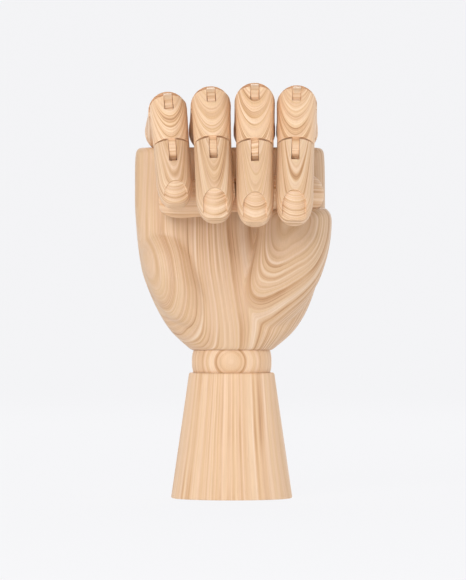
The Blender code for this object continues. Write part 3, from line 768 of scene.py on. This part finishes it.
def make_base():
    """The foot, with its dish, its bore and the spring's chamber in one turned profile."""
    ball_z = JOINTS["wrist_turn"]["pos_m"][2] / MM
    dish_r = BALL_R + DISH_GAP
    rim = math.degrees(math.asin((BASE_HEIGHT - ball_z) / dish_r))
    meets = math.degrees(math.asin(BASE_BORE_R / dish_r)) - 90
    inside = arc(0.0, ball_z, dish_r, rim, meets, 24)[::-1]
    profile = [(BASE_BORE_R, FOOT_CHAMBER_TOP)] + inside
    profile += arc(BASE_TOP_R - BASE_TOP_EDGE, BASE_HEIGHT - BASE_TOP_EDGE, BASE_TOP_EDGE, 86, 2, 8)
    profile += arc(BASE_BOTTOM_R - BASE_LOW_EDGE, BASE_LOW_EDGE, BASE_LOW_EDGE, 0, -90, 6)
    profile += [(FOOT_CHAMBER_R + 0.4, 0.0), (FOOT_CHAMBER_R, 0.4), (FOOT_CHAMBER_R, FOOT_CHAMBER_TOP)]
    bm = bmesh.new()
    segments = 160
    rings = []
    for r, z in profile:
        ring = []
        for i in range(segments):
            angle = 2 * math.pi * i / segments
            ring.append(bm.verts.new((r * MM * math.cos(angle), r * MM * math.sin(angle), z * MM)))
        rings.append(ring)
    for k in range(len(rings)):
        a, b = rings[k], rings[(k + 1) % len(rings)]
        for i in range(segments):
            j = (i + 1) % segments
            bm.faces.new((a[i], a[j], b[j], b[i]))
    narrowing = 1 - BASE_TOP_R / BASE_BOTTOM_R
    flare = (1 - narrowing, narrowing / (BASE_HEIGHT * MM))
    material = wood(
        "wood_base",
        (-150.0, 8.0, 0.0),
        ring=1.2,
        warp=0.5,
        ripple=0.05,
        tone=0.97,
        contrast=0.55,
        seed=5.2,
        flare=flare,
    )
    obj = mesh_object("base_wood", bm, material)
    obj.data.shade_smooth()
    obj.data.set_sharp_from_angle(angle=math.radians(35))
    fit(obj, Matrix.Identity(4), "foot", "base")
    plug_wood = wood("wood_plug", (30.0, 5.0, 0.0), (80.0, 0.0, 0.0), tone=0.9)
    plug = turned("base_plug_wood", plug_profile(), plug_wood)
    plug.data.shade_smooth()
    plug.data.set_sharp_from_angle(angle=math.radians(35))
    fit(plug, Matrix.Identity(4), "foot", "base_plug")


def plug_profile():
    radius = FOOT_CHAMBER_R - SEAM_GAP
    inner = radius - PLUG_EDGE
    top = [(0.0, PLUG_TOP), (inner, PLUG_TOP), (radius, PLUG_TOP - PLUG_EDGE)]
    return top + [(radius, PLUG_EDGE), (inner, 0.0), (0.0, 0.0)]


def make_ball(cut):
    """The wrist ball: the layers lie square to the front, so they show as rings round its middle."""
    place = Matrix.Translation(Vector(JOINTS["wrist_turn"]["pos_m"]))
    profile = arc(0.0, 0.0, BALL_R, 90, -90, 64)
    profile[0], profile[-1] = (0.0, BALL_R), (0.0, -BALL_R)
    material = wood(
        "wood_ball", (1.0, 300.0, 2.0), ring=0.8, warp=0.4, ripple=0.05, tone=0.95, contrast=0.7, seed=6.4
    )
    obj = turned("wrist_ball_wood", profile, material, 128)
    # The slot and bores take the cutters' material, painted dark as shade inside them
    steps = [("DIFFERENCE", box((-2.7, -9.2, -6.6), (2.7, 9.2, 24), cut))]
    steps += [("DIFFERENCE", rod(1.8, -30, 30, cut, 24, across()))]
    steps += [("DIFFERENCE", rod(2.2, -30, -10, cut, 24))]
    carve(obj, steps)
    soften(obj, 0.2)
    fit(obj, place, "wrist_ball", "wrist_ball")


def eased(sections, step):
    """Rows about a step apart on a smooth curve through the sections, which doesn't swing past them."""
    table = np.array(sections)
    gaps = np.diff(table[:, 0])[:, None]
    secants = np.diff(table, axis=0) / gaps
    slopes = np.vstack([secants[:1], np.zeros_like(secants[1:]), secants[-1:]])
    both = secants[:-1] * secants[1:]
    total = secants[:-1] + secants[1:]
    same = both > 0
    slopes[1:-1][same] = 2 * both[same] / total[same]
    rows = []
    for k, (gap,) in enumerate(gaps):
        count = max(1, round(gap / step))
        for i in range(count):
            t = i / count
            low, high = table[k], table[k + 1]
            bend = t * (1 - t) * gap * ((1 - t) * slopes[k] - t * slopes[k + 1])
            rows.append(low * (1 + 2 * t) * (1 - t) ** 2 + high * t * t * (3 - 2 * t) + bend)
    rows.append(table[-1])
    return rows


def oval(cx, cy, a, b, power, z, count):
    """A ring shaped between an ellipse (power 2) and a rounded rectangle (power 4)."""
    ring = []
    for i in range(count):
        angle = 2 * math.pi * i / count
        c, s = math.cos(angle), math.sin(angle)
        x = a * math.copysign(abs(c) ** (2 / power), c)
        y = b * math.copysign(abs(s) ** (2 / power), s)
        ring.append(Vector((cx + x, cy + y, z)) * MM)
    return ring


def loft(rings, material):
    """A closed skin over rings of points that all have the same count, lowest first."""
    bm = bmesh.new()
    rows = [[bm.verts.new(p) for p in ring] for ring in rings]
    count = len(rows[0])
    for low, high in zip(rows, rows[1:]):
        for i in range(count):
            j = (i + 1) % count
            bm.faces.new((low[i], low[j], high[j], high[i]))
    bm.faces.new(rows[0])
    bm.faces.new(rows[-1])
    return mesh_object("palm_wood", bm, material)


def slab(material):
    rings = []
    for z, left, right, half, power in eased(PALM_SECTIONS, PALM_STEP):
        rings.append(oval((left + right) / 2, 0, (right - left) / 2, half, power, z, PALM_AROUND))
    return loft(rings, material)


def bulge(sections, material):
    rings = [oval(cx, cy, a, b, 2.2, z, PALM_AROUND) for z, cx, cy, a, b in eased(sections, PALM_STEP)]
    return loft(rings, material)


def seat_place(finger):
    """The frame of a knuckle's seat: Z along its eye rod, X along its pin."""
    swivel, knuckle = JOINTS[finger + "_swivel"], JOINTS[finger + "_knuckle"]
    x = Vector(knuckle["axis"]).normalized()
    z = Vector(swivel["axis"]).normalized()
    y = z.cross(x).normalized()
    matrix = Matrix((y.cross(z), y, z)).transposed().to_4x4()
    matrix.translation = Vector(knuckle["pos_m"])
    return matrix


def placed(obj, matrix):
    obj.matrix_world = matrix
    return obj


def knuckle_seat(finger, material):
    """The dish for a knuckle ball, its rod's bore and its spring's chamber, and the way out of the dish."""
    place = seat_place(finger)
    dish_r = KNUCKLE_R + DISH_GAP
    meets = math.degrees(math.asin(ROD_BORE_R / dish_r))
    profile = arc(0.0, 0.0, dish_r, 90, meets - 90, 40)
    profile[0] = (0.0, dish_r)
    profile += [(ROD_BORE_R, -18.5), (3.25, -18.5), (3.25, -32), (0.0, -32)]
    seat = placed(turned("seat", profile, material, 72), place)
    groove = rod(GROOVE_R, 0, 30, material, 72, Matrix.Rotation(math.pi / 2, 4, "X"))
    return [("DIFFERENCE", seat), ("DIFFERENCE", placed(groove, place))]


def wrist_room(material):
    """The dish for the wrist ball, the way in for its rod and the chamber of its spring."""
    centre = Vector(JOINTS["wrist_turn"]["pos_m"])
    profile = arc(0.0, 0.0, BALL_R + DISH_GAP, 90, -90, 64)
    profile[0], profile[-1] = (0.0, BALL_R + DISH_GAP), (0.0, -BALL_R - DISH_GAP)
    dish = turned("dish", profile, material, 128)
    outline = arc(0.0, 0.0, WRIST_SEAT, 90 - WRIST_SPREAD, 90 + WRIST_SPREAD, 16)
    outline += arc(0.0, 0.0, WRIST_CHAMBER_TOP, 90 + WRIST_SPREAD, 90 - WRIST_SPREAD, 16)
    chamber = prism(outline, WRIST_CHAMBER_HALF, material)
    way = box((-11, -2.7, 14), (11, 2.7, 32), material)
    place = Matrix.Translation(centre)
    turn = Matrix.Rotation(math.pi / 2, 4, "Z")
    pieces = (placed(dish, place), placed(chamber, place @ turn), placed(way, place))
    return [("DIFFERENCE", piece) for piece in pieces]


def sand(obj, voxel, passes, keep=1.0):
    """One even skin over the carved block, with its edges rounded as sanding does. Keep is the share of its
    faces that stay."""
    material = obj.data.materials[0]
    remesh = obj.modifiers.new("skin", "REMESH")
    remesh.mode = "VOXEL"
    remesh.voxel_size = voxel * MM
    remesh.use_smooth_shade = True
    smooth = obj.modifiers.new("sand", "SMOOTH")
    smooth.factor = 0.5
    smooth.iterations = passes
    if keep < 1:
        thin = obj.modifiers.new("thin", "DECIMATE")
        thin.ratio = keep
    settle(obj)
    obj.data.materials.clear()
    obj.data.materials.append(material)
    obj.data.shade_smooth()


def make_palm():
    """The palm: a slab with the thumb's and the little finger's mounds. The log's core runs behind its thumb
    side, so the layers' edges follow the mounds like the lines of a map."""
    material = wood(
        "wood_palm", (38.0, 34.0, 0.0), ring=0.9, warp=0.8, ripple=0.08, tone=0.84, contrast=0.75, seed=8.3
    )
    obj = slab(material)
    steps = [("UNION", bulge(THENAR_SECTIONS, material)), ("UNION", bulge(HYPOTHENAR_SECTIONS, material))]
    carve(obj, steps)
    sand(obj, BLOCK_VOXEL / FINE, BLOCK_PASSES)
    steps = wrist_room(material)
    for finger in ("pinky", "ring", "middle", "index", "thumb"):
        steps += knuckle_seat(finger, material)
    carve(obj, steps)
    sand(obj, PALM_VOXEL / FINE, PALM_PASSES, PALM_KEEP)
    fit(obj, Matrix.Identity(4), "palm", "palm")


def finish_steel():
    """The steel stays as the CAD made it, with a better surface."""
    material = steel()
    for name, obj in frame["nodes"].items():
        if "light_wood" in [s.material.name for s in obj.material_slots if s.material]:
            continue
        for slot in obj.material_slots:
            slot.link = "OBJECT"
            slot.material = material


def plain(name, color, glow):
    material = bpy.data.materials.new(name)
    material.use_nodes = True
    shader = material.node_tree.nodes["Principled BSDF"]
    shader.inputs["Base Color"].default_value = (*color, 1.0)
    shader.inputs["Roughness"].default_value = 0.9
    shader.inputs["Specular IOR Level"].default_value = 0.0
    shader.inputs["Emission Color"].default_value = (*BACKDROP, 1.0)
    shader.inputs["Emission Strength"].default_value = glow
    return material


def make_stage():
    """A pale floor that curves up into the backdrop, and a round wall that only the camera sees. All of it
    lies beyond the camera's place in any view."""
    material = plain("backdrop", (0.05, 0.05, 0.05), BACKDROP_GLOW)
    bm = bmesh.new()
    radius, reach, wide, top = 2.6, 6.8, 17.0, 13.6
    outline = [(-7.0, 0.0), (reach - radius, 0.0)]
    for i in range(1, 25):
        angle = math.pi / 2 * i / 24
        outline.append((reach - radius + radius * math.sin(angle), radius - radius * math.cos(angle)))
    outline.append((reach, top))
    rows = [[bm.verts.new((x, y, z)) for x in (-wide, wide)] for y, z in outline]
    for low, high in zip(rows, rows[1:]):
        bm.faces.new((low[0], low[1], high[1], high[0]))
    floor = mesh_object("stage", bm, material)
    floor.data.shade_smooth()
    around = rod(SURROUND_R / MM, -1.0 / MM, 12.0 / MM, material, 96)
    around.name = "surround"
    around.visible_diffuse = False
    around.visible_glossy = False
    around.visible_transmission = False
    around.visible_shadow = False


def add_light(name, place, size, power):
    data = bpy.data.lights.new(name, "AREA")
    data.shape = "SQUARE"
    data.size = size
    data.energy = power
    light = bpy.data.objects.new(name, data)
    bpy.context.scene.collection.objects.link(light)
    light.location = place
    light.visible_camera = False
    aim = Vector(LIGHT_AIM) - Vector(place)
    light.rotation_euler = aim.to_track_quat("-Z", "Y").to_euler()


def make_light():
    world = bpy.data.worlds.new("studio")
    world.use_nodes = True
    background = world.node_tree.nodes["Background"]
    background.inputs["Color"].default_value = (1.0, 1.0, 1.0, 1.0)
    background.inputs["Strength"].default_value = WORLD_LIGHT
    bpy.context.scene.world = world
    for name, place, size, power in LIGHTS:
        add_light(name, place, size, power)


def make_camera():
    data = bpy.data.cameras.new("camera")
    data.sensor_width = 36.0
    data.lens = CAMERA_LENS
    camera = bpy.data.objects.new("camera", data)
    bpy.context.scene.collection.objects.link(camera)
    camera.location = CAMERA_PLACE
    camera.rotation_euler = (math.pi / 2, 0.0, 0.0)
    bpy.context.scene.camera = camera


bpy.context.scene.view_settings.view_transform = "Standard"
make_base()
make_ball(sawn_and_shaded_wood("sawn_and_shaded_wood"))
make_palm()
for index, finger in enumerate(FINGERS):
    make_finger(index, *finger)
make_thumb()
finish_steel()
make_stage()
make_light()
make_camera()
